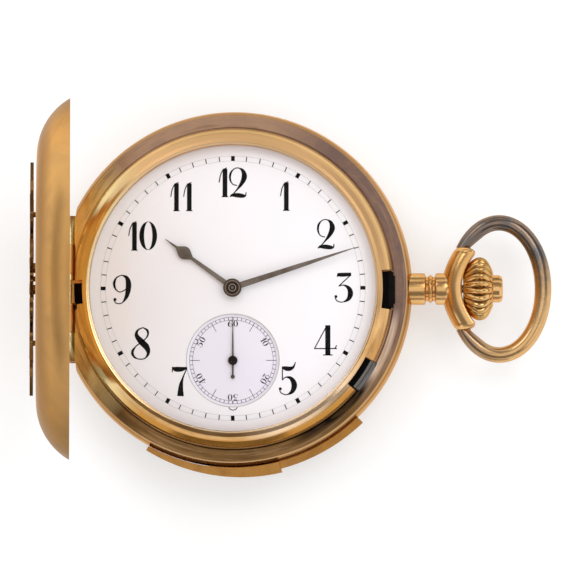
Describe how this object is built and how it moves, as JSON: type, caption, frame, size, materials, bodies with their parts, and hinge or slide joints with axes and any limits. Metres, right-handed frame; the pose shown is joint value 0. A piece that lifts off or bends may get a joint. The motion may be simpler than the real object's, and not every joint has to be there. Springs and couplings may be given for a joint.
{
  "type": "minute repeater pocket watch",
  "caption": "Gold hunter-case pocket watch with a hinged front lid, white enamel dial, sunk seconds dial, fluted crown, oval bow and a repeating slide on the band.",
  "frame": {"origin": "middle of the flat on the outside of the closed back lid, on the axis of the dial", "axes": "+Z from the back to the dial, +Y towards twelve o'clock, +X towards the crown at three o'clock"},
  "size_m": [0.0784, 0.0565, 0.0625],
  "materials": {
    "gold": "polished, with soft tarnish",
    "crystal": "clear",
    "steel": "polished",
    "pallet_steel": "polished, with red stones",
    "enamel": "fired white enamel",
    "hand_steel": "aged dark steel",
    "nickel": "matt, fine grain",
    "brass": "brushed, gilt",
    "blued_steel": "heat blued",
    "ruby": "clear red stone"
  },
  "bodies": {
    "case": {"case_middle": "gold", "bezel": "gold", "crystal": "crystal", "pendant": "gold", "slide_rail": "gold", "front_hinge_pin": "gold", "back_hinge_pin": "gold", "cuvette_hinge_pin": "gold", "lift_spring": "steel", "click": "steel", "main_plate": "nickel", "dial": "enamel", "seconds_dial": "enamel", "barrel_bridge": "nickel", "train_bridge": "nickel", "balance_cock": "nickel", "pallet_bridge": "nickel", "regulator": "steel", "hairspring": "blued_steel", "jewels": "ruby", "bridge_screws": "blued_steel", "gong_outer": "blued_steel", "gong_inner": "blued_steel", "gong_block": "steel"},
    "front_lid": {"front_lid": "gold", "lid_ornament": "gold"},
    "back_lid": {"back_lid": "gold"},
    "dust_cover": {"cuvette": "gold"},
    "bow": {"bow": "gold"},
    "winding": {"crown": "gold", "winding_stem": "steel", "winding_pinion": "steel"},
    "button": {"crown_button": "gold"},
    "catch": {"lid_catch": "steel"},
    "lever": {"setting_lever": "steel"},
    "slide": {"repeater_slide": "gold"},
    "repeater_barrel": {"repeater_barrel": "brass"},
    "crown_wheel": {"crown_wheel": "steel"},
    "ratchet": {"ratchet_wheel": "steel"},
    "barrel": {"mainspring_barrel": "brass"},
    "centre": {"centre_wheel": "brass"},
    "third": {"third_wheel": "brass"},
    "fourth": {"fourth_wheel": "brass", "seconds_hand": "hand_steel"},
    "escape": {"escape_wheel": "steel"},
    "pallets": {"pallet_fork": "pallet_steel"},
    "balance": {"balance_wheel": "brass"},
    "minute": {"cannon_pinion": "steel", "minute_hand": "hand_steel"},
    "minute_wheel": {"minute_wheel": "brass"},
    "hour": {"hour_wheel": "brass", "hour_hand": "hand_steel"},
    "hour_hammer": {"hour_hammer": "steel"},
    "minute_hammer": {"minute_hammer": "steel"},
    "governor": {"governor": "brass"}
  },
  "joints": [
    {"name": "front_lid_hinge", "type": "hinge", "parent": "case", "child": "front_lid", "pos_m": [-0.0252, 0, 0.0109], "axis": [0, 1, 0], "range_deg": [0, 84.3], "stiffness_Nm_per_rad": 0.003, "springref_deg": -20.05},
    {"name": "back_lid_hinge", "type": "hinge", "parent": "case", "child": "back_lid", "pos_m": [-0.0252, 0, 0.0049], "axis": [0, 1, 0], "range_deg": [0, 95]},
    {"name": "dust_cover_hinge", "type": "hinge", "parent": "case", "child": "dust_cover", "pos_m": [-0.0227, 0, 0.00525], "axis": [0, 1, 0], "range_deg": [0, 80]},
    {"name": "bow_pivot", "type": "hinge", "parent": "case", "child": "bow", "pos_m": [0.03565, 0, 0.0079], "axis": [0, 1, 0], "range_deg": [-75, 75]},
    {"name": "crown_spin", "type": "hinge", "parent": "case", "child": "winding", "pos_m": [0.036, 0, 0.0079], "axis": [1, 0, 0], "continuous": true},
    {"name": "button_press", "type": "slide", "parent": "winding", "child": "button", "axis": [-1, 0, 0], "range_m": [0, 0.0008], "stiffness_N_per_m": 200, "springref_m": -0.0005},
    {"name": "catch_slide", "type": "slide", "parent": "case", "child": "catch", "axis": [-1, 0, 0], "range_m": [0, 0.0005]},
    {"name": "lever_slide", "type": "slide", "parent": "case", "child": "lever", "axis": [0.8315, -0.5556, 0], "range_m": [0, 0.0006]},
    {"name": "slide_turn", "type": "hinge", "parent": "case", "child": "slide", "pos_m": [0, 0, 0.0079], "axis": [0, 0, 1], "range_deg": [0, 29], "stiffness_Nm_per_rad": 0.002, "springref_deg": -11.46},
    {"name": "repeater_barrel_turn", "type": "hinge", "parent": "case", "child": "repeater_barrel", "pos_m": [-0.0115, 0.0082, 0.0065], "axis": [0, 0, 1], "range_deg": [-146, 0]},
    {"name": "crown_wheel_spin", "type": "hinge", "parent": "case", "child": "crown_wheel", "pos_m": [0.0089, 0, 0.0045], "axis": [0, 0, 1], "continuous": true},
    {"name": "ratchet_spin", "type": "hinge", "parent": "case", "child": "ratchet", "pos_m": [0.00455, 0.00856, 0.0045], "axis": [0, 0, 1], "continuous": true},
    {"name": "seconds_spin", "type": "hinge", "parent": "case", "child": "fourth", "pos_m": [0, -0.0111, 0.007], "axis": [0, 0, -1], "continuous": true},
    {"name": "third_spin", "type": "hinge", "parent": "case", "child": "third", "pos_m": [-0.00426, -0.00636, 0.007], "axis": [0, 0, -1], "continuous": true},
    {"name": "centre_spin", "type": "hinge", "parent": "case", "child": "centre", "pos_m": [0, 0, 0.006], "axis": [0, 0, -1], "continuous": true},
    {"name": "barrel_spin", "type": "hinge", "parent": "case", "child": "barrel", "pos_m": [0.00455, 0.00856, 0.007], "axis": [0, 0, -1], "continuous": true},
    {"name": "escape_spin", "type": "hinge", "parent": "case", "child": "escape", "pos_m": [0.00474, -0.01272, 0.0072], "axis": [0, 0, -1], "continuous": true},
    {"name": "pallet_rock", "type": "hinge", "parent": "case", "child": "pallets", "pos_m": [0.00751, -0.01058, 0.0074], "axis": [0, 0, 1], "range_deg": [-2.5, 2.5]},
    {"name": "balance_swing", "type": "hinge", "parent": "case", "child": "balance", "pos_m": [0.011, -0.0079, 0.006], "axis": [0, 0, 1], "range_deg": [-135, 135], "stiffness_Nm_per_rad": 0.0000012},
    {"name": "minute_spin", "type": "hinge", "parent": "case", "child": "minute", "pos_m": [0, 0, 0.0128], "axis": [0, 0, -1], "continuous": true},
    {"name": "minute_wheel_spin", "type": "hinge", "parent": "case", "child": "minute_wheel", "pos_m": [0.00312, -0.0018, 0.01], "axis": [0, 0, -1], "continuous": true},
    {"name": "hour_spin", "type": "hinge", "parent": "case", "child": "hour", "pos_m": [0, 0, 0.0122], "axis": [0, 0, -1], "continuous": true},
    {"name": "hour_hammer_lift", "type": "hinge", "parent": "case", "child": "hour_hammer", "pos_m": [-0.01576, -0.00278, 0.007], "axis": [0, 0, 1], "range_deg": [0, 10], "stiffness_Nm_per_rad": 0.0002, "springref_deg": -5.73},
    {"name": "minute_hammer_lift", "type": "hinge", "parent": "case", "child": "minute_hammer", "pos_m": [-0.01189, -0.01071, 0.007], "axis": [0, 0, 1], "range_deg": [0, 10], "stiffness_Nm_per_rad": 0.0002, "springref_deg": -5.73},
    {"name": "governor_spin", "type": "hinge", "parent": "case", "child": "governor", "pos_m": [-0.0062, 0.016, 0.007], "axis": [0, 0, 1], "continuous": true}
  ],
  "couplings": [
    {"joint": "dust_cover_hinge", "follows": "back_lid_hinge", "ratio": 0.8},
    {"joint": "catch_slide", "follows": "button_press", "ratio": 0.6},
    {"joint": "repeater_barrel_turn", "follows": "slide_turn", "ratio": -5},
    {"joint": "governor_spin", "follows": "slide_turn", "ratio": 40},
    {"joint": "crown_wheel_spin", "follows": "crown_spin", "ratio": 0.625},
    {"joint": "ratchet_spin", "follows": "crown_spin", "ratio": -0.375},
    {"joint": "third_spin", "follows": "seconds_spin", "ratio": -0.13333},
    {"joint": "centre_spin", "follows": "seconds_spin", "ratio": 0.016667},
    {"joint": "barrel_spin", "follows": "seconds_spin", "ratio": -0.0022222},
    {"joint": "escape_spin", "follows": "seconds_spin", "ratio": -10},
    {"joint": "minute_wheel_spin", "follows": "minute_spin", "ratio": -0.33333},
    {"joint": "hour_spin", "follows": "minute_spin", "ratio": 0.083333}
  ]
}
